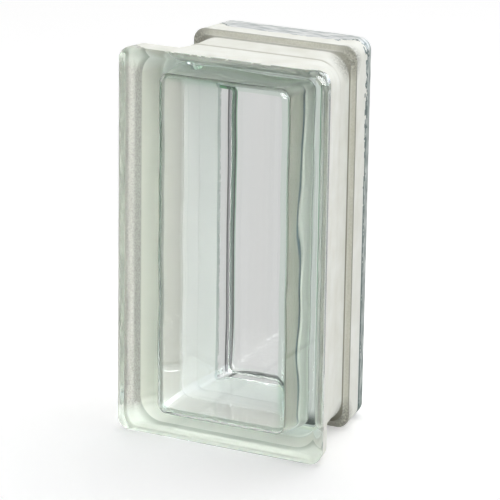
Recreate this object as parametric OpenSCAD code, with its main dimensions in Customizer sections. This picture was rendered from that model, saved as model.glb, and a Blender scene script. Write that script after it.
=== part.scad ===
// Hollow pressed-glass block, tapered in plan, standing on its short end.
// X is the width, Y the depth with the wide face at the front (-Y), Z the height.
// All sizes in millimetres.

/* [Block] */
// Height of the block as it stands
height = 190; // [120:1:300]
// Thickness of the block, face to face
depth = 80; // [68:1:120]
// Width of the front flange, the widest place
front_w = 109.5; // [90:0.5:240]
// Width where the rear flange begins
shoulder_w = 87.4; // [66:0.2:230]
// Width of the rear face
rear_w = 80.5; // [62:0.5:230]
// Corner radius of the two faces, seen from the front
corner_r = 6.5; // [3:0.1:12]

/* [Flanges and channel] */
// Depth of the front flange's rim
front_flange = 13; // [8:0.5:20]
// Depth of the rear flange's rim
rear_flange = 25; // [8:0.5:30]
// Height of the step from the channel up to a rim
step_h = 3.2; // [2.6:0.1:6]
// How much further the channel falls from the step to the seam
channel_fall = 1; // [0:0.1:3]
// Corner radius of the channel's floor, rounder than the faces
channel_corner_r = 12; // [3:0.5:16]
// Rounding where a face meets its rim
edge_r = 3; // [0.5:0.1:4]
// Rounding where a rim meets its step
arris_r = 0.8; // [0.3:0.1:1.5]
// Fillet at the foot of a step
root_r = 1.6; // [0.5:0.1:2.2]
// Width of the fused seam bead in the channel
seam_w = 2.6; // [1:0.1:6]
// Height of the fused seam bead
seam_h = 0.6; // [0.1:0.1:1]

/* [Hollow] */
// Thickness of each pane
pane = 6; // [5:0.5:12]
// Solid side rim at the front pane
front_rim = 20; // [14:0.1:30]
// Solid top and bottom rim at the front pane
front_end_rim = 11; // [9:0.1:24]
// Solid wall at the seam, behind the channel
seam_wall = 5.5; // [4:0.5:12]
// Solid side rim at the rear pane
rear_rim = 10.8; // [7:0.1:24]
// Solid top and bottom rim at the rear pane
rear_end_rim = 13.3; // [9:0.1:24]
// Corner radius of the hollow along its walls
hollow_r = 5; // [3:0.1:12]
// Least corner radius of the hollow, at the panes
pane_corner_r = 2; // [1:0.1:3]
// Depth of the blend between the front pane and the walls
front_fillet = 2; // [1:0.1:8]
// Reach of that blend across the front pane
front_blend = 3.5; // [1:0.1:8]
// Fillet between the rear pane and the walls
rear_fillet = 2.2; // [1:0.1:8]

/* [Hidden] */
corner_steps = 7;
arc_steps = 5;
bead_steps = 6;
least_r = 1;
front_y = -depth / 2;
rear_y = depth / 2;
front_step_y = front_y + front_flange;
rear_step_y = rear_y - rear_flange;
floor_inset = step_h + channel_fall;
hollow_front_y = front_y + pane;
hollow_rear_y = rear_y - pane;
// Half width of the rims' envelope at a depth
envelope = [
    [front_y + edge_r, front_w / 2],
    [rear_step_y, shoulder_w / 2],
    [rear_y - edge_r, rear_w / 2]
];
// Least corner radius of a ring at a depth
least_corner = [
    [front_step_y, least_r],
    [front_step_y + root_r, channel_corner_r],
    [rear_step_y - root_r, channel_corner_r],
    [rear_step_y, least_r]
];
// Half width of the hollow at a depth
hollow_half = [
    [hollow_front_y, lookup(hollow_front_y, envelope) - front_rim],
    [0, lookup(0, envelope) - floor_inset - seam_wall],
    [hollow_rear_y, lookup(hollow_rear_y, envelope) - rear_rim]
];
// Height of the hollow's floor at a depth
hollow_low = [
    [hollow_front_y, front_end_rim],
    [0, floor_inset + seam_wall],
    [hollow_rear_y, rear_end_rim]
];

// Points [depth, inset] of an arc about [y, inset], r deep and r or reach across
function arc(y, inset, r, from, to, reach) =
    let (across = is_undef(reach) ? r : reach)
        [for (i = [0 : arc_steps])
            let (a = from + (to - from) * i / arc_steps) [y + r * cos(a), inset + across * sin(a)]];

// Section through the rims and the channel, front to rear: depth, and inset from the envelope
rim_section = concat(
    arc(front_y + edge_r, edge_r, edge_r, 180, 270),
    arc(front_step_y - arris_r, arris_r, arris_r, 270, 360),
    arc(front_step_y + root_r, step_h - root_r, root_r, 180, 90),
    [for (i = [0 : bead_steps])
        let (t = i / bead_steps) [seam_w * (t - 1 / 2), floor_inset - seam_h * pow(sin(180 * t), 2)]],
    arc(rear_step_y - root_r, step_h - root_r, root_r, 90, 0),
    arc(rear_step_y + arris_r, arris_r, arris_r, 180, 270),
    arc(rear_y - edge_r, edge_r, edge_r, 270, 360)
);

// Section through the hollow, front to rear: depth, and inset from its walls
hollow_section = concat(
    arc(hollow_front_y + front_fillet, front_blend, front_fillet, 180, 270, front_blend),
    [[0, 0]],
    arc(hollow_rear_y - rear_fillet, rear_fillet, rear_fillet, 270, 360)
);

// Rounded rectangle at depth y, half_w to each side and low up from the floor
function ring(y, half_w, low, r) = [
    for (corner = [[1, low, -90], [1, height - low, 0], [-1, height - low, 90], [-1, low, 180]])
        let (up = corner[1] > height / 2 ? -1 : 1)
            for (i = [0 : corner_steps])
                let (a = corner[2] + 90 * i / corner_steps)
                    [corner[0] * (half_w - r) + r * cos(a), y, corner[1] + up * r + r * sin(a)]
];

// Closed skin over a list of rings
module loft(rings) {
    n = len(rings[0]);
    top = (len(rings) - 1) * n;
    polyhedron(
        points = [for (one = rings) each one],
        faces = concat(
            [[for (i = [n - 1 : -1 : 0]) i]],
            [for (k = [0 : n : top - n]) for (i = [0 : n - 1])
                let (j = (i + 1) % n) each [[k + i, k + j, k + n + j], [k + i, k + n + j, k + n + i]]],
            [[for (i = [0 : n - 1]) top + i]]
        ),
        convexity = 6
    );
}

module pressed_shape() {
    loft([
        for (s = rim_section)
            ring(s[0], lookup(s[0], envelope) - s[1], s[1], max(corner_r - s[1], lookup(s[0], least_corner)))
    ]);
}

module hollow() {
    loft([
        for (s = hollow_section)
            ring(
                s[0],
                lookup(s[0], hollow_half) - s[1],
                lookup(s[0], hollow_low) + s[1],
                max(hollow_r - s[1], pane_corner_r)
            )
    ]);
}

// Two pressed halves fused at the seam: panes, flanges and walls in one piece of glass
module glass_block() {
    color([0.78, 0.88, 0.82, 0.5])
        difference() {
            pressed_shape();
            hollow();
        }
}

glass_block();
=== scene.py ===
import math

import bmesh
import bpy
from mathutils import Matrix, Vector, noise


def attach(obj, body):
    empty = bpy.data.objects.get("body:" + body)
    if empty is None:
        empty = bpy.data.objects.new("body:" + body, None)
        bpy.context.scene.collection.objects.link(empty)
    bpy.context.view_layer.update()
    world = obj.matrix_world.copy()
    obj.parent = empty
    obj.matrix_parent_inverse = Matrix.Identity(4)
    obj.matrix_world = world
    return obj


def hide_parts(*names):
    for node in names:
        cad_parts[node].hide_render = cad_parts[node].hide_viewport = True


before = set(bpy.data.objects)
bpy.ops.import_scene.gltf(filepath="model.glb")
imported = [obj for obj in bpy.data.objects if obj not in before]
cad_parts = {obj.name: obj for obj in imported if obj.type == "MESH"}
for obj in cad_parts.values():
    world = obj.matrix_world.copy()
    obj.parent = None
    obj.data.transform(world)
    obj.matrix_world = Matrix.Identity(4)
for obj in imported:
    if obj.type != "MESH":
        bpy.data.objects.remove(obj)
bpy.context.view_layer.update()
scene = bpy.context.scene
mm = 0.001
print("frame loaded:", sorted(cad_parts))


def linear(hexColour):  # "rrggbb" in sRGB to a linear RGBA
    parts = [int(hexColour[i:i + 2], 16) / 255 for i in (0, 2, 4)]
    return [p / 12.92 if p <= 0.04045 else ((p + 0.055) / 1.055) ** 2.4 for p in parts] + [1.0]


def addNode(tree, kind, settings=None, links=None):
    node = tree.nodes.new(kind)
    for key, value in (settings or {}).items():
        if key == "stops":  # places and hex colours along a colour ramp
            elements = node.color_ramp.elements
            while len(elements) < len(value):
                elements.new(0.5)
            for element, (position, colour) in zip(elements, value):
                element.position, element.color = position, linear(colour)
        elif isinstance(key, int) or key in node.inputs:
            node.inputs[key].default_value = value
        else:
            setattr(node, key, value)
    for key, socket in (links or {}).items():
        tree.links.new(socket, node.inputs[key])
    return node


def newMaterial(name):
    material = bpy.data.materials.new(name)
    material.use_nodes = True
    material.node_tree.nodes.clear()
    return material, material.node_tree


# Pressed block, in millimetres: front is -Y, the block stands on its short end
block = {
    "height": 190, "depth": 80, "cornerR": 6.5,
    "frontW": 109.5, "shoulderW": 87.4, "rearW": 80.5,
    "frontFlange": 13, "rearFlange": 25,
    "stepH": 3.2, "channelFall": 1.0, "channelCornerR": 12, "leastR": 1,
    "edgeR": 3.0, "arrisR": 0.8, "rootR": 1.6,
    "seamW": 2.6, "seamH": 0.35, "innerSeamW": 3.2, "innerSeamH": 0.5,
    "pane": 6, "frontRim": 20, "frontEndRim": 11, "seamWall": 5.5, "rearRim": 10.8, "rearEndRim": 13.3,
    "hollowR": 5, "paneCornerR": 2, "frontBlend": 3.5, "frontFillet": 2, "rearFillet": 2.2,
    "filletRun": 0.3,  # a short straight run past each fillet keeps its shading tight
    "sway": 0.6, "swaySize": 25, "swaySeed": 1,  # pressed walls are never quite straight
    "arcSteps": 8, "cornerSteps": 10, "seamSteps": 6,
    "ringPitch": 1.0, "rimPitch": 0.8, "hollowPitch": 3, "wallPitch": 4,
}


def between(y, table):  # straight-line value at depth y
    if y <= table[0][0]:
        return table[0][1]
    for (y0, a), (y1, b) in zip(table, table[1:]):
        if y <= y1:
            return a + (b - a) * (y - y0) / (y1 - y0)
    return table[-1][1]


def arc(y, inset, r, start, end):
    steps = block["arcSteps"]
    angles = [math.radians(start + (end - start) * i / steps) for i in range(steps + 1)]
    return [(y + r * math.cos(a), inset + r * math.sin(a)) for a in angles]


def run(y0, y1, pitch):  # depths between two places, ends left out
    count = max(1, round((y1 - y0) / pitch))
    return [y0 + (y1 - y0) * i / count for i in range(1, count)]


def bead(width, rise, inset):  # low ridge along the seam
    steps = block["seamSteps"]
    return [(width / 2 * i / steps, inset + rise * math.cos(math.pi * i / (2 * steps)) ** 2)
            for i in range(-steps, steps + 1)]


frontY = -block["depth"] / 2
rearY = block["depth"] / 2
frontStepY = frontY + block["frontFlange"]
rearStepY = rearY - block["rearFlange"]
floorInset = block["stepH"] + block["channelFall"]
hollowFrontY = frontY + block["pane"]
hollowRearY = rearY - block["pane"]
# half width of the rims, and least corner radius, at a depth
envelope = [
    (frontY + block["edgeR"], block["frontW"] / 2),
    (rearStepY, block["shoulderW"] / 2),
    (rearY - block["edgeR"], block["rearW"] / 2),
]
leastCorner = [
    (frontStepY, block["leastR"]),
    (frontStepY + block["rootR"], block["channelCornerR"]),
    (rearStepY - block["rootR"], block["channelCornerR"]),
    (rearStepY, block["leastR"]),
]
# half width and floor height of the hollow at a depth
hollowHalf = [
    (hollowFrontY, between(hollowFrontY, envelope) - block["frontRim"]),
    (0, between(0, envelope) - floorInset - block["seamWall"]),
    (hollowRearY, between(hollowRearY, envelope) - block["rearRim"]),
]
hollowLow = [
    (hollowFrontY, block["frontEndRim"]),
    (0, floorInset + block["seamWall"]),
    (hollowRearY, block["rearEndRim"]),
]


def rimSection():  # depth and inset from the envelope, front to rear
    edgeR, arrisR, rootR, stepH = (block[k] for k in ("edgeR", "arrisR", "rootR", "stepH"))
    seam, pitch = block["seamW"] / 2, block["wallPitch"]
    frontFoot, rearFoot = frontStepY + rootR, rearStepY - rootR
    channel = [(frontFoot, stepH), (-seam, floorInset), (seam, floorInset), (rearFoot, stepH)]
    points = arc(frontY + edgeR, edgeR, edgeR, 180, 270)
    points += [(y, 0) for y in run(frontY + edgeR, frontStepY - arrisR, block["rimPitch"])]
    points += arc(frontStepY - arrisR, arrisR, arrisR, 270, 360)
    points += arc(frontFoot, stepH - rootR, rootR, 180, 90)
    points += [(y, between(y, channel)) for y in run(frontFoot, -seam, pitch)]
    points += bead(block["seamW"], -block["seamH"], floorInset)
    points += [(y, between(y, channel)) for y in run(seam, rearFoot, pitch)]
    points += arc(rearFoot, stepH - rootR, rootR, 90, 0)
    points += arc(rearStepY + arrisR, arrisR, arrisR, 180, 270)
    points += [(y, 0) for y in run(rearStepY + arrisR, rearY - edgeR, block["rimPitch"])]
    return points + arc(rearY - edgeR, edgeR, edgeR, 270, 360)


def hollowSection():  # depth and inset from the walls of the hollow, front to rear
    blend, frontFillet, rearFillet = (block[k] for k in ("frontBlend", "frontFillet", "rearFillet"))
    seam, pitch = block["innerSeamW"] / 2, block["wallPitch"]
    frontEnd, rearEnd = hollowFrontY + frontFillet, hollowRearY - rearFillet
    turns = [math.radians(90 * i / block["arcSteps"]) for i in range(block["arcSteps"] + 1)]
    points = [(frontEnd - frontFillet * math.cos(t), blend * (1 - math.sin(t))) for t in turns]
    points += [(frontEnd + block["filletRun"], 0)]
    points += [(y, 0) for y in run(frontEnd, -seam, pitch)]
    points += bead(block["innerSeamW"], block["innerSeamH"], 0)
    points += [(y, 0) for y in run(seam, rearEnd, pitch)]
    points += [(rearEnd - block["filletRun"], 0)]
    return points + arc(rearEnd, rearFillet, rearFillet, 270, 360)


def loft(stations, pitch):
    # One rounded rectangle, beveled from four corners, is extruded from station to station
    bm = bmesh.new()
    y, half, low, r = stations[0]
    middle = block["height"] / 2
    spots = ((-1, -1), (1, -1), (1, 1), (-1, 1))
    corners = [bm.verts.new((sx * half, y, middle + sz * (middle - low))) for sx, sz in spots]
    bm.faces.new(corners)
    bmesh.ops.bevel(bm, geom=corners, offset=r, offset_type="OFFSET", segments=block["cornerSteps"],
                    profile=0.5, material=-1, affect="VERTICES")
    for e in [e for e in bm.edges if e.calc_length() > 3 * r]:  # the four straight sides
        bmesh.ops.subdivide_edges(bm, edges=[e], cuts=max(1, round(e.calc_length() / pitch) - 1))
    bm.faces.ensure_lookup_table()
    ring = [loop.vert for loop in bm.faces[0].loops]
    edges = bm.edges[:]
    # A place on the ring: its share of the straight sides and its direction from the corner's centre
    reach, rise = half - r, middle - low - r
    places = []
    for v in ring:
        x, z = v.co.x, v.co.z - middle
        sx, sz = max(-1, min(1, x / reach)), max(-1, min(1, z / rise))
        places.append((sx, sz, (x - sx * reach) / r, (z - sz * rise) / r))
    for y, half, low, r in stations[1:]:
        grown = bmesh.ops.extrude_edge_only(bm, edges=edges)["geom"]
        edges = [g for g in grown if isinstance(g, bmesh.types.BMEdge)]
        order = {v: i for i, v in enumerate(ring)}
        for v in {v for e in edges for v in e.verts}:
            i = next(order[e.other_vert(v)] for e in v.link_edges if e.other_vert(v) in order)
            sx, sz, ux, uz = places[i]
            v.co = (sx * (half - r) + ux * r, y, middle + sz * (middle - low - r) + uz * r)
            ring[i] = v
    bm.faces.new(ring)
    bmesh.ops.recalc_face_normals(bm, faces=bm.faces[:])
    return bm


# Edge coating: the share of the front and rear rims it covers, and how ragged its ends are, in millimetres
coating = {
    "left": (0.35, 0.8), "right": (0.75, 0.8), "top": (1.08, 0.42), "bottom": (0.7, 0.95),
    "endBand": 8, "turnInset": 2, "turnRun": 12,  # where a side's cover turns into the top's or the bottom's
    "straight": 0.3, "ragged": 4.5, "raggedSize": 3.0, "looseGain": 2.2,
    "speckle": 0.3, "speckleSize": 1.1, "speckleShift": (31, 7, 13),
    "thinEnd": 2.0, "wornTo": 1.0, "wornTurn": 0.3,
}
covers = ("bare", "coated", "thin", "worn")  # in the order of the piece's materials


def coverAt(c):  # what covers the outside of the block at a place
    half, middle = between(c.y, envelope), block["height"] / 2
    turned = 0  # 0 on the sides, 1 on the top and the bottom
    if abs(c.z - middle) > middle - coating["endBand"]:
        turned = min(1, max(0, (half - coating["turnInset"] - abs(c.x)) / coating["turnRun"]))
    onSide = coating["right" if c.x > 0 else "left"]
    onEnd = coating["top" if c.z > middle else "bottom"]
    front, rear = (side + (end - side) * turned for side, end in zip(onSide, onEnd))
    # the rear end is most ragged at the top right
    loose = max(0, c.x / half) * max(0, 1 - coating["looseGain"] * (1 - c.z / block["height"]))
    patch = noise.noise(c / coating["raggedSize"])
    grain = coating["speckle"] * noise.noise(c / coating["speckleSize"] + Vector(coating["speckleShift"]))
    first = frontStepY - front * (block["frontFlange"] - block["edgeR"]) + coating["straight"] * patch
    last = rearStepY + rear * (block["rearFlange"] - block["edgeR"])
    last += (coating["straight"] + coating["ragged"] * loose) * patch + grain
    if first < c.y < last:
        return "thin" if c.y > last - coating["thinEnd"] * (1 - turned) else "coated"
    onTop = turned > coating["wornTurn"] and c.z > middle
    if last < c.y < rearY - coating["wornTo"] and (c.x > 0 or onTop):
        return "worn"
    return "bare"


def buildGlass():
    bm = loft([(y, between(y, envelope) - n, n, max(block["cornerR"] - n, between(y, leastCorner)))
               for y, n in rimSection()], block["ringPitch"])
    for f in bm.faces:
        f.material_index = covers.index(coverAt(f.calc_center_median()))
    hollow = loft([(y, between(y, hollowHalf) - n, between(y, hollowLow) + n,
                    max(block["hollowR"] - n, block["paneCornerR"]))
                   for y, n in hollowSection()], block["hollowPitch"])
    bmesh.ops.reverse_faces(hollow, faces=hollow.faces[:])
    noise.seed_set(block["swaySeed"])  # unseeded, the noise vector follows the clock
    for v in hollow.verts:
        sway = noise.noise_vector(v.co / block["swaySize"]) * block["sway"]
        v.co.x, v.co.z = v.co.x + sway.x, v.co.z + sway.z
    mesh = bpy.data.meshes.new("glassBlock")
    hollow.to_mesh(mesh)
    hollow.free()
    bm.from_mesh(mesh)
    for f in bm.faces:
        f.smooth = len(f.verts) == 4  # the panes stay flat
    bmesh.ops.scale(bm, vec=(mm, mm, mm), verts=bm.verts[:])
    bm.to_mesh(mesh)
    bm.free()
    piece = bpy.data.objects.new("glassBlock", mesh)
    scene.collection.objects.link(piece)
    return piece


# Glass, sizes in millimetres
glass = {"tint": "c8e6d2", "tintDensity": 5.0, "rippleSize": 9, "rippleStretch": 0.08, "rippleHeight": 0.05,
         "paneBlend": 3}


def sodaLimeGlass():
    # Pressed soda-lime glass: fire-polished and clear, faintly green where the light path is long
    material, tree = newMaterial("sodaLimeGlass")
    spot = addNode(tree, "ShaderNodeTexCoord").outputs["Object"]
    drawn = addNode(tree, "ShaderNodeMapping", {"Scale": (1, 1, glass["rippleStretch"])}, {"Vector": spot})
    ripple = addNode(tree, "ShaderNodeTexNoise", {
        "Scale": 1 / (glass["rippleSize"] * mm), "Detail": 2.5, "Roughness": 0.6},
        {"Vector": drawn.outputs["Vector"]})
    # the walls of the hollow are rippled, the faces and their edges are not
    depth = addNode(tree, "ShaderNodeSeparateXYZ", None, {"Vector": spot}).outputs["Y"]
    away = addNode(tree, "ShaderNodeMath", {"operation": "ABSOLUTE"}, {0: depth})
    wall = addNode(tree, "ShaderNodeMapRange", {
        "From Min": hollowRearY * mm, "From Max": (hollowRearY - glass["paneBlend"]) * mm},
        {"Value": away.outputs["Value"]})
    bump = addNode(tree, "ShaderNodeBump", {"Distance": glass["rippleHeight"] * mm},
                   {"Height": ripple.outputs["Fac"], "Strength": wall.outputs["Result"]})
    shader = addNode(tree, "ShaderNodeBsdfPrincipled", {
        "Base Color": (1, 1, 1, 1), "Roughness": 0.0, "IOR": 1.52, "Transmission Weight": 1.0},
        {"Normal": bump.outputs["Normal"]})
    tint = addNode(tree, "ShaderNodeVolumeAbsorption", {
        "Color": linear(glass["tint"]), "Density": glass["tintDensity"]})
    addNode(tree, "ShaderNodeOutputMaterial", None,
            {"Surface": shader.outputs["BSDF"], "Volume": tint.outputs["Volume"]})
    return material


# Colours of the coating, places in millimetres: lines by depth from their step or from the seam
coatLook = {
    "patchSize": 12, "gritSize": 0.9, "gritHeight": 0.15,
    # painted shade: the greyer colour on the steps, and the grey lines at their foot and brow
    "thick": ((0.3, "e8e8de"), (0.7, "f2f3ec")), "shadedSteps": ((0.4, "dcdccf"), (0.6, "e4e4d9")),
    "stepShadeLines": ((-0.8, "ffffff"), (-0.5, "98958a"), (-0.15, "98958a"), (0.0, "ffffff"), (0.6, "ffffff"),
                  (0.9, "98958a"), (2.2, "98958a"), (2.7, "ffffff")),
    "faintOnTop": 0.6, "topFrom": 176, "topTo": 183,
    "seamLine": ((-2.0, "ffffff"), (-1.5, "d6d4cd"), (-0.9, "d6d4cd"), (-0.4, "ffffff")),
    "seamFrom": 88, "seamTo": 90,
    # painted shade: grey patches in the rear corners of the channel
    "cornerShade": "85857a", "cornerShadeAt": (42, 52, 89), "cornerShadeEnd": 11, "cornerShadeFull": 3, "cornerShadeMost": 0.9,
    "innerSide": ((0.46, "cccac1"), (0.52, "fdfcf9")), "wander": 0.03,
    # painted reflection: a bluish line on the inner side along the seam, on the right
    "rightReflection": ((-2.2, "ffffff"), (-1.7, "7f9cb2"), (-0.9, "7f9cb2"), (-0.4, "ffffff")),
    "rightFrom": 30, "rightTo": 36,
    # painted light: the inner side lighter on the top, and a little on the bottom
    "pale": "fdfcf9", "bottomFrom": 14, "bottomTo": 7, "bottomLight": 0.45,
    "innerSpeckle": ((0.35, "8f8c86"), (0.65, "adaba5")), "speckleFull": 6.5, "speckleEnd": 7.5,
    "rightRim": "9da097", "endRim": "b2b6ae", "endFrom": 83, "endTo": 88,
}


def depthStops(lines):  # depths in millimetres to places along the block
    return [((y - frontY) / block["depth"], colour) for y, colour in lines]


def coatPlaces(tree):  # places and noises that both sides of the coating read
    place = addNode(tree, "ShaderNodeTexCoord")
    spot = place.outputs["Object"]
    axes = addNode(tree, "ShaderNodeSeparateXYZ", None, {"Vector": spot})
    share = addNode(tree, "ShaderNodeMapRange", {"From Min": frontY * mm, "From Max": rearY * mm},
                    {"Value": axes.outputs["Y"]})
    # folded over, so that all four corners are one: X and Z from the middle, Y from the front face
    centred = addNode(tree, "ShaderNodeVectorMath", {
        "operation": "SUBTRACT", 1: (0, frontY * mm, block["height"] / 2 * mm)}, {0: spot})
    folded = addNode(tree, "ShaderNodeVectorMath", {"operation": "ABSOLUTE"}, {0: centred.outputs["Vector"]})
    rise = addNode(tree, "ShaderNodeSeparateXYZ", None, {"Vector": folded.outputs["Vector"]})
    patches = addNode(tree, "ShaderNodeTexNoise", {"Scale": 1 / (coatLook["patchSize"] * mm), "Detail": 3.0},
                      {"Vector": spot})
    grit = addNode(tree, "ShaderNodeTexNoise", {"Scale": 1 / (coatLook["gritSize"] * mm), "Detail": 2.0},
                   {"Vector": spot})
    return {
        "normal": place.outputs["Normal"], "share": share.outputs["Result"],
        "x": axes.outputs["X"], "depth": axes.outputs["Y"], "height": axes.outputs["Z"],
        "folded": folded.outputs["Vector"], "rise": rise.outputs["Z"],
        "patches": patches.outputs["Fac"], "grit": grit.outputs["Fac"],
    }


def coatOutside(tree, at):
    # uneven white; greyer on the steps of the channel, which face front and back: painted shade, grainy with
    # grit
    thick = addNode(tree, "ShaderNodeValToRGB", {"stops": coatLook["thick"]}, {"Fac": at["patches"]})
    shadedSteps = addNode(tree, "ShaderNodeValToRGB", {"stops": coatLook["shadedSteps"]}, {"Fac": at["grit"]})
    facing = addNode(tree, "ShaderNodeSeparateXYZ", None, {"Vector": at["normal"]})
    steep = addNode(tree, "ShaderNodeMath", {"operation": "ABSOLUTE"}, {0: facing.outputs["Y"]})
    step = addNode(tree, "ShaderNodeMapRange", {"From Min": 0.4, "From Max": 0.9},
                   {"Value": steep.outputs["Value"]})
    white = addNode(tree, "ShaderNodeMix", {"data_type": "RGBA"}, {
        "Factor": step.outputs["Result"], 6: thick.outputs["Color"], 7: shadedSteps.outputs["Color"]})
    # painted shade: fine grey lines in the crease at the foot and along the brow of each step, fainter on top
    lines = [(frontStepY + y, colour) for y, colour in coatLook["stepShadeLines"]]
    lines += [(rearStepY - y, colour) for y, colour in reversed(coatLook["stepShadeLines"])]
    drawn = addNode(tree, "ShaderNodeValToRGB", {"stops": depthStops(lines)}, {"Fac": at["share"]})
    faint = addNode(tree, "ShaderNodeMapRange", {
        "From Min": coatLook["topFrom"] * mm, "From Max": coatLook["topTo"] * mm,
        "To Min": 1.0, "To Max": coatLook["faintOnTop"]}, {"Value": at["height"]})
    stepShaded = addNode(tree, "ShaderNodeMix", {"data_type": "RGBA", "blend_type": "MULTIPLY"}, {
        "Factor": faint.outputs["Result"], 6: white.outputs[2], 7: drawn.outputs["Color"]})
    # one along the seam, on the top and the bottom
    seam = addNode(tree, "ShaderNodeValToRGB", {"stops": depthStops(coatLook["seamLine"])},
                   {"Fac": at["share"]})
    onEnd = addNode(tree, "ShaderNodeMapRange", {
        "From Min": coatLook["seamFrom"] * mm, "From Max": coatLook["seamTo"] * mm}, {"Value": at["rise"]})
    seamed = addNode(tree, "ShaderNodeMix", {"data_type": "RGBA", "blend_type": "MULTIPLY"}, {
        "Factor": onEnd.outputs["Result"], 6: stepShaded.outputs[2], 7: seam.outputs["Color"]})
    # painted shade, broken up by grit: grey patches in the rear corners of the channel
    corner = addNode(tree, "ShaderNodeVectorMath", {
        "operation": "DISTANCE", 1: [place * mm for place in coatLook["cornerShadeAt"]]}, {0: at["folded"]})
    near = addNode(tree, "ShaderNodeMapRange", {
        "From Min": coatLook["cornerShadeEnd"] * mm, "From Max": coatLook["cornerShadeFull"] * mm},
        {"Value": corner.outputs["Value"]})
    shadeGrain = addNode(tree, "ShaderNodeMapRange", {
        "From Min": 0.25, "From Max": 0.6, "To Max": coatLook["cornerShadeMost"]}, {"Value": at["grit"]})
    cornerShade = addNode(tree, "ShaderNodeMath", {"operation": "MULTIPLY"},
                     {0: near.outputs["Result"], 1: shadeGrain.outputs["Result"]})
    cornerShaded = addNode(tree, "ShaderNodeMix", {"data_type": "RGBA", 7: linear(coatLook["cornerShade"])}, {
        "Factor": cornerShade.outputs["Value"], 6: seamed.outputs[2]})
    return cornerShaded.outputs[2]


def coatInside(tree, at):
    # through the glass: tan as far as the seam and white behind it, with an uneven border
    wander = addNode(tree, "ShaderNodeMath", {
        "operation": "MULTIPLY_ADD", 1: coatLook["wander"], 2: -coatLook["wander"] / 2}, {0: at["patches"]})
    wavy = addNode(tree, "ShaderNodeMath", {"operation": "ADD"}, {0: at["share"], 1: wander.outputs["Value"]})
    inner = addNode(tree, "ShaderNodeValToRGB", {"stops": coatLook["innerSide"]},
                    {"Fac": wavy.outputs["Value"]})
    # painted reflection: a bluish line along the seam on the right
    bluish = addNode(tree, "ShaderNodeValToRGB", {"stops": depthStops(coatLook["rightReflection"])},
                     {"Fac": at["share"]})
    right = addNode(tree, "ShaderNodeMapRange", {
        "From Min": coatLook["rightFrom"] * mm, "From Max": coatLook["rightTo"] * mm}, {"Value": at["x"]})
    streaked = addNode(tree, "ShaderNodeMix", {"data_type": "RGBA", "blend_type": "MULTIPLY"}, {
        "Factor": right.outputs["Result"], 6: inner.outputs["Color"], 7: bluish.outputs["Color"]})
    # painted light: lighter on the top, and a little on the bottom
    high = addNode(tree, "ShaderNodeMapRange", {
        "From Min": coatLook["topFrom"] * mm, "From Max": coatLook["topTo"] * mm}, {"Value": at["height"]})
    low = addNode(tree, "ShaderNodeMapRange", {
        "From Min": coatLook["bottomFrom"] * mm, "From Max": coatLook["bottomTo"] * mm,
        "To Max": coatLook["bottomLight"]}, {"Value": at["height"]})
    paintedLightShare = addNode(tree, "ShaderNodeMath", {"operation": "ADD"},
                    {0: high.outputs["Result"], 1: low.outputs["Result"]})
    pale = addNode(tree, "ShaderNodeMix", {"data_type": "RGBA", 7: linear(coatLook["pale"])}, {
        "Factor": paintedLightShare.outputs["Value"], 6: streaked.outputs[2]})
    # grey behind the front flange: speckled on the left, even on the right and the ends
    speckle = addNode(tree, "ShaderNodeValToRGB", {"stops": coatLook["innerSpeckle"]}, {"Fac": at["grit"]})
    even = addNode(tree, "ShaderNodeMix", {"data_type": "RGBA", 7: linear(coatLook["rightRim"])}, {
        "Factor": right.outputs["Result"], 6: speckle.outputs["Color"]})
    ends = addNode(tree, "ShaderNodeMapRange", {
        "From Min": coatLook["endFrom"] * mm, "From Max": coatLook["endTo"] * mm}, {"Value": at["rise"]})
    grey = addNode(tree, "ShaderNodeMix", {"data_type": "RGBA", 7: linear(coatLook["endRim"])}, {
        "Factor": ends.outputs["Result"], 6: even.outputs[2]})
    flange = addNode(tree, "ShaderNodeMapRange", {
        "From Min": (frontStepY + coatLook["speckleEnd"]) * mm,
        "From Max": (frontStepY + coatLook["speckleFull"]) * mm}, {"Value": at["depth"]})
    inside = addNode(tree, "ShaderNodeMix", {"data_type": "RGBA"}, {
        "Factor": flange.outputs["Result"], 6: pale.outputs[2], 7: grey.outputs[2]})
    return inside.outputs[2]


def edgeCoating():
    # White edge coating, sprayed on: matt, uneven and gritty, and its inner side shows through the glass
    material, tree = newMaterial("edgeCoating")
    at = coatPlaces(tree)
    side = addNode(tree, "ShaderNodeNewGeometry").outputs["Backfacing"]
    colour = addNode(tree, "ShaderNodeMix", {"data_type": "RGBA"}, {
        "Factor": side, 6: coatOutside(tree, at), 7: coatInside(tree, at)})
    bump = addNode(tree, "ShaderNodeBump", {"Strength": 0.25, "Distance": coatLook["gritHeight"] * mm},
                   {"Height": at["grit"]})
    shader = addNode(tree, "ShaderNodeBsdfPrincipled", {"Roughness": 0.65, "IOR": 1.46},
                     {"Base Color": colour.outputs[2], "Normal": bump.outputs["Normal"]})
    addNode(tree, "ShaderNodeOutputMaterial", None, {"Surface": shader.outputs["BSDF"]})
    return material


def thinCoatingPaintedShade():
    # Where the coating runs out it is a thin film; its outside is painted dark green, painted shade for the
    # glass that shows dark behind it
    material, tree = newMaterial("thinCoatingPaintedShade")
    side = addNode(tree, "ShaderNodeNewGeometry").outputs["Backfacing"]
    colour = addNode(tree, "ShaderNodeMix", {"data_type": "RGBA", 6: linear("2f4a46"), 7: linear("c4c9c5")},
                     {"Factor": side})
    shader = addNode(tree, "ShaderNodeBsdfPrincipled", {"Roughness": 0.35, "IOR": 1.46},
                     {"Base Color": colour.outputs[2]})
    addNode(tree, "ShaderNodeOutputMaterial", None, {"Surface": shader.outputs["BSDF"]})
    return material


# Worn film: streak width in millimetres, and how far streaks are drawn out along the rims
wornFilm = {"streakSize": 1.6, "streakStretch": 0.2, "onTop": ((0.38, "b6bcbb"), (0.58, "eaecea")),
            "onSide": ((0.4, "76837f"), (0.6, "c6ccc9")), "inside": "fbfbf2"}


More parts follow.
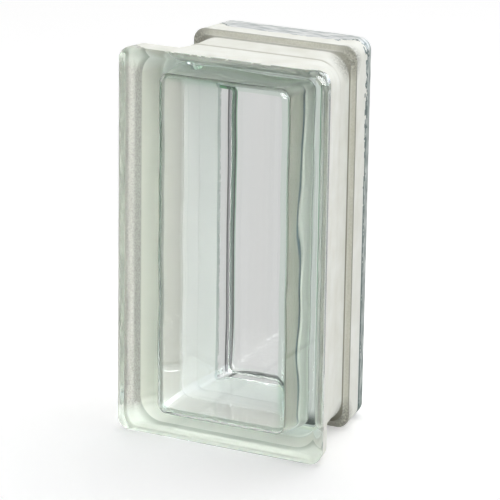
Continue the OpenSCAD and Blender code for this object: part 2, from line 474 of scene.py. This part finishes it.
def wornCoating():
    # Worn coating on the rear rim: a streaky grey film, barer and greener down the side
    material, tree = newMaterial("wornCoating")
    place = addNode(tree, "ShaderNodeTexCoord")
    stretch = wornFilm["streakStretch"]
    drawn = addNode(tree, "ShaderNodeMapping", {"Scale": (stretch, 1, stretch)},
                    {"Vector": place.outputs["Object"]})
    streaks = addNode(tree, "ShaderNodeTexNoise", {"Scale": 1 / (wornFilm["streakSize"] * mm), "Detail": 3.0},
                      {"Vector": drawn.outputs["Vector"]})
    onTop = addNode(tree, "ShaderNodeValToRGB", {"stops": wornFilm["onTop"]},
                    {"Fac": streaks.outputs["Fac"]})
    onSide = addNode(tree, "ShaderNodeValToRGB", {"stops": wornFilm["onSide"]},
                     {"Fac": streaks.outputs["Fac"]})
    facing = addNode(tree, "ShaderNodeSeparateXYZ", None, {"Vector": place.outputs["Normal"]})
    turned = addNode(tree, "ShaderNodeMapRange", {"From Min": 0.3, "From Max": 0.8},
                     {"Value": facing.outputs["X"]})
    film = addNode(tree, "ShaderNodeMix", {"data_type": "RGBA"}, {
        "Factor": turned.outputs["Result"], 6: onTop.outputs["Color"], 7: onSide.outputs["Color"]})
    side = addNode(tree, "ShaderNodeNewGeometry").outputs["Backfacing"]
    colour = addNode(tree, "ShaderNodeMix", {"data_type": "RGBA", 7: linear(wornFilm["inside"])},
                     {"Factor": side, 6: film.outputs[2]})
    shader = addNode(tree, "ShaderNodeBsdfPrincipled", {"Roughness": 0.4, "IOR": 1.46},
                     {"Base Color": colour.outputs[2]})
    addNode(tree, "ShaderNodeOutputMaterial", None, {"Surface": shader.outputs["BSDF"]})
    return material


piece = buildGlass()
for material in (sodaLimeGlass(), edgeCoating(), thinCoatingPaintedShade(), wornCoating()):
    piece.data.materials.append(material)
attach(piece, "root")
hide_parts("glass_block")
print("glass block:", len(piece.data.polygons), "faces")

# Studio: pale floor, surroundings that are dimmer towards the camera, one soft lamp
# Only the glass sees the soft boxes, the dark flag and the shadow close behind the block (in millimetres)
studio = {
    "floorSize": 6.0, "clear": 0.1 * mm, "floorColour": "ececec", "lift": 0.32, "glassFloor": 0.66,
    "frontLevel": 0.3, "frontTo": -0.8, "rearLevel": 0.85, "rearFrom": 0.3,
    "glassSky": 0.35, "softEdge": 0.1,
    "softBoxes": ({"way": (0.0, 1.0, -1.2), "edge": 0.45, "power": 0.5, "colour": "ffffff"},
                  {"way": (0.75, 0.5, 0.43), "edge": 0.6, "power": 5.0, "colour": "e6ecf4"},
                  {"way": (0.44, -0.85, 0.29), "edge": 0.8, "power": 13.2, "colour": "ffffff"}),
    "flag": ((0.195, "ffffff"), (0.205, "2c282b"), (0.245, "2c282b"), (0.275, "b2b0b4"), (0.66, "b2b0b4"),
             (0.7, "ffffff")),
    "shadow": ((0.0, "ffffff"), (0.03, "4a5250"), (0.35, "4a5250"), (0.8, "ffffff")),
    "shadowRun": 30, "shadowSideFrom": -30, "shadowSideTo": -36,
    "lampPlace": (0.1, 0.4, 1.4), "lampAim": (0, 0, 0.1), "lampSize": 0.7, "lampPower": 5,
}


def seenThrough(tree):  # 1 for rays that reach the studio by way of the glass
    path = addNode(tree, "ShaderNodeLightPath")
    either = addNode(tree, "ShaderNodeMath", {"operation": "MAXIMUM"},
                     {0: path.outputs["Is Transmission Ray"], 1: path.outputs["Is Glossy Ray"]})
    return either.outputs["Value"]


def flagged(tree, spot):  # dark flag on the left, by angle about the rear corner, which draws a dark line
    axes = addNode(tree, "ShaderNodeSeparateXYZ", None, {"Vector": spot})
    side = addNode(tree, "ShaderNodeMath", {"operation": "SUBTRACT", 0: -block["rearW"] / 2 * mm},
                   {1: axes.outputs["X"]})
    back = addNode(tree, "ShaderNodeMath", {"operation": "SUBTRACT", 1: rearY * mm}, {0: axes.outputs["Y"]})
    turn = addNode(tree, "ShaderNodeMath", {"operation": "ARCTAN2"},
                   {0: side.outputs["Value"], 1: back.outputs["Value"]})
    share = addNode(tree, "ShaderNodeMath", {"operation": "DIVIDE", 1: math.pi}, {0: turn.outputs["Value"]})
    flag = addNode(tree, "ShaderNodeValToRGB", {"stops": studio["flag"]}, {"Fac": share.outputs["Value"]})
    return flag.outputs["Color"]


def shadowed(tree, spot):  # dark line of shadow close behind the block
    axes = addNode(tree, "ShaderNodeSeparateXYZ", None, {"Vector": spot})
    share = addNode(tree, "ShaderNodeMapRange", {
        "From Min": rearY * mm, "From Max": (rearY + studio["shadowRun"]) * mm}, {"Value": axes.outputs["Y"]})
    beside = addNode(tree, "ShaderNodeMapRange", {
        "From Min": studio["shadowSideFrom"] * mm, "From Max": studio["shadowSideTo"] * mm},
        {"Value": axes.outputs["X"]})
    away = addNode(tree, "ShaderNodeMath", {"operation": "ADD"},
                   {0: share.outputs["Result"], 1: beside.outputs["Result"]})
    shadow = addNode(tree, "ShaderNodeValToRGB", {"stops": studio["shadow"]}, {"Fac": away.outputs["Value"]})
    return shadow.outputs["Color"]


def studioFloor():
    bm = bmesh.new()
    bmesh.ops.create_grid(bm, x_segments=1, y_segments=1, size=studio["floorSize"] / 2)
    mesh = bpy.data.meshes.new("floor")
    bm.to_mesh(mesh)
    bm.free()
    floor = bpy.data.objects.new("floor", mesh)
    floor.location.z = -studio["clear"]  # clear of the coating under the rims
    scene.collection.objects.link(floor)
    # matt floor, lifted towards white for the camera; through the glass it is an even card
    material, tree = newMaterial("paleFloor")
    path = addNode(tree, "ShaderNodeLightPath")
    matt = addNode(tree, "ShaderNodeBsdfDiffuse", {"Color": linear(studio["floorColour"])})
    lift = addNode(tree, "ShaderNodeMath", {"operation": "MULTIPLY", 1: studio["lift"]},
                   {0: path.outputs["Is Camera Ray"]})
    glow = addNode(tree, "ShaderNodeEmission", None, {"Strength": lift.outputs["Value"]})
    lifted = addNode(tree, "ShaderNodeAddShader", None,
                     {0: matt.outputs["BSDF"], 1: glow.outputs["Emission"]})
    spot = addNode(tree, "ShaderNodeNewGeometry").outputs["Position"]
    shaded = addNode(tree, "ShaderNodeMix", {"data_type": "RGBA", "blend_type": "MULTIPLY", "Factor": 1.0},
                     {6: flagged(tree, spot), 7: shadowed(tree, spot)})
    card = addNode(tree, "ShaderNodeEmission", {"Strength": studio["glassFloor"]},
                   {"Color": shaded.outputs[2]})
    shown = addNode(tree, "ShaderNodeMixShader", None, {
        0: seenThrough(tree), 1: lifted.outputs["Shader"], 2: card.outputs["Emission"]})
    addNode(tree, "ShaderNodeOutputMaterial", None, {"Surface": shown.outputs["Shader"]})
    floor.data.materials.append(material)


def studioWorld():
    world = bpy.data.worlds.new("studio")
    scene.world = world
    world.use_nodes = True
    tree = world.node_tree
    tree.nodes.clear()
    path = addNode(tree, "ShaderNodeLightPath")
    way = addNode(tree, "ShaderNodeTexCoord").outputs["Generated"]
    axes = addNode(tree, "ShaderNodeSeparateXYZ", None, {"Vector": way})
    level = addNode(tree, "ShaderNodeMapRange", {
        "From Min": studio["frontTo"], "From Max": studio["rearFrom"],
        "To Min": studio["frontLevel"], "To Max": studio["rearLevel"]}, {"Value": axes.outputs["Y"]})
    room = addNode(tree, "ShaderNodeBackground", {"Color": (1, 1, 1, 1)},
                   {"Strength": level.outputs["Result"]})
    # the glass sees a darker room with three soft boxes, whose light the panes pass on to the walls inside
    seen = addNode(tree, "ShaderNodeBackground", {"Color": (1, 1, 1, 1), "Strength": studio["glassSky"]})
    for box in studio["softBoxes"]:
        facing = addNode(tree, "ShaderNodeVectorMath", {"operation": "DOT_PRODUCT", 1: box["way"]}, {0: way})
        within = addNode(tree, "ShaderNodeMapRange", {
            "From Min": box["edge"] - studio["softEdge"], "From Max": box["edge"]},
            {"Value": facing.outputs["Value"]})
        glow = addNode(tree, "ShaderNodeBackground", {
            "Color": linear(box["colour"]), "Strength": box["power"]})
        seen = addNode(tree, "ShaderNodeMixShader", None, {
            0: within.outputs["Result"], 1: seen.outputs[0], 2: glow.outputs["Background"]})
    white = addNode(tree, "ShaderNodeBackground", {"Color": (1, 1, 1, 1), "Strength": 1.0})
    lit = addNode(tree, "ShaderNodeMixShader", None, {
        0: seenThrough(tree), 1: room.outputs["Background"], 2: seen.outputs["Shader"]})
    shown = addNode(tree, "ShaderNodeMixShader", None, {
        0: path.outputs["Is Camera Ray"], 1: lit.outputs["Shader"], 2: white.outputs["Background"]})
    addNode(tree, "ShaderNodeOutputWorld", None, {"Surface": shown.outputs["Shader"]})


def keyLamp():
    data = bpy.data.lights.new("keyLamp", "AREA")
    data.shape = "RECTANGLE"
    data.size, data.size_y, data.energy = studio["lampSize"], studio["lampSize"], studio["lampPower"]
    lamp = bpy.data.objects.new("keyLamp", data)
    lamp.location = studio["lampPlace"]
    way = Vector(studio["lampAim"]) - Vector(studio["lampPlace"])
    lamp.rotation_euler = way.to_track_quat("-Z", "Y").to_euler()
    scene.collection.objects.link(lamp)


studioFloor()
studioWorld()
keyLamp()
print("studio ready")

# Camera: turned and raised as in the photograph, with a long lens
view = {"azimuth": 27.2, "elevation": 16.7, "roll": 0.84, "focalPx": 3083, "distance": 1.477,
        "centrePx": (256.9, 236.7), "framePx": 500, "sensor": 36}


def photoCamera():
    az, el = math.radians(view["azimuth"]), math.radians(view["elevation"])
    back = Vector((math.sin(az) * math.cos(el), -math.cos(az) * math.cos(el), math.sin(el)))
    level = Vector((math.cos(az), math.sin(az), 0))
    upright = back.cross(level)
    roll = math.radians(view["roll"])
    right = level * math.cos(roll) + upright * math.sin(roll)
    up = upright * math.cos(roll) - level * math.sin(roll)
    perPx = view["distance"] / view["focalPx"]
    offX, offY = ((c - view["framePx"] / 2) * perPx for c in view["centrePx"])
    centre = Vector((0, 0, block["height"] * mm / 2))
    aim = centre - right * offX + up * offY
    data = bpy.data.cameras.new("photoCamera")
    data.sensor_width = view["sensor"]
    data.lens = view["focalPx"] * view["sensor"] / view["framePx"]
    data.clip_start, data.clip_end = 0.1, 50
    camera = bpy.data.objects.new("photoCamera", data)
    turn = Matrix((right, up, back)).transposed().to_4x4()
    camera.matrix_world = Matrix.Translation(aim + back * view["distance"]) @ turn
    scene.collection.objects.link(camera)
    scene.camera = camera


photoCamera()
scene.view_settings.view_transform = "Standard"
# light passes many faces of the glass before it leaves
scene.cycles.max_bounces = 32
scene.cycles.transmission_bounces = 32
scene.cycles.glossy_bounces = 16
print("camera set")
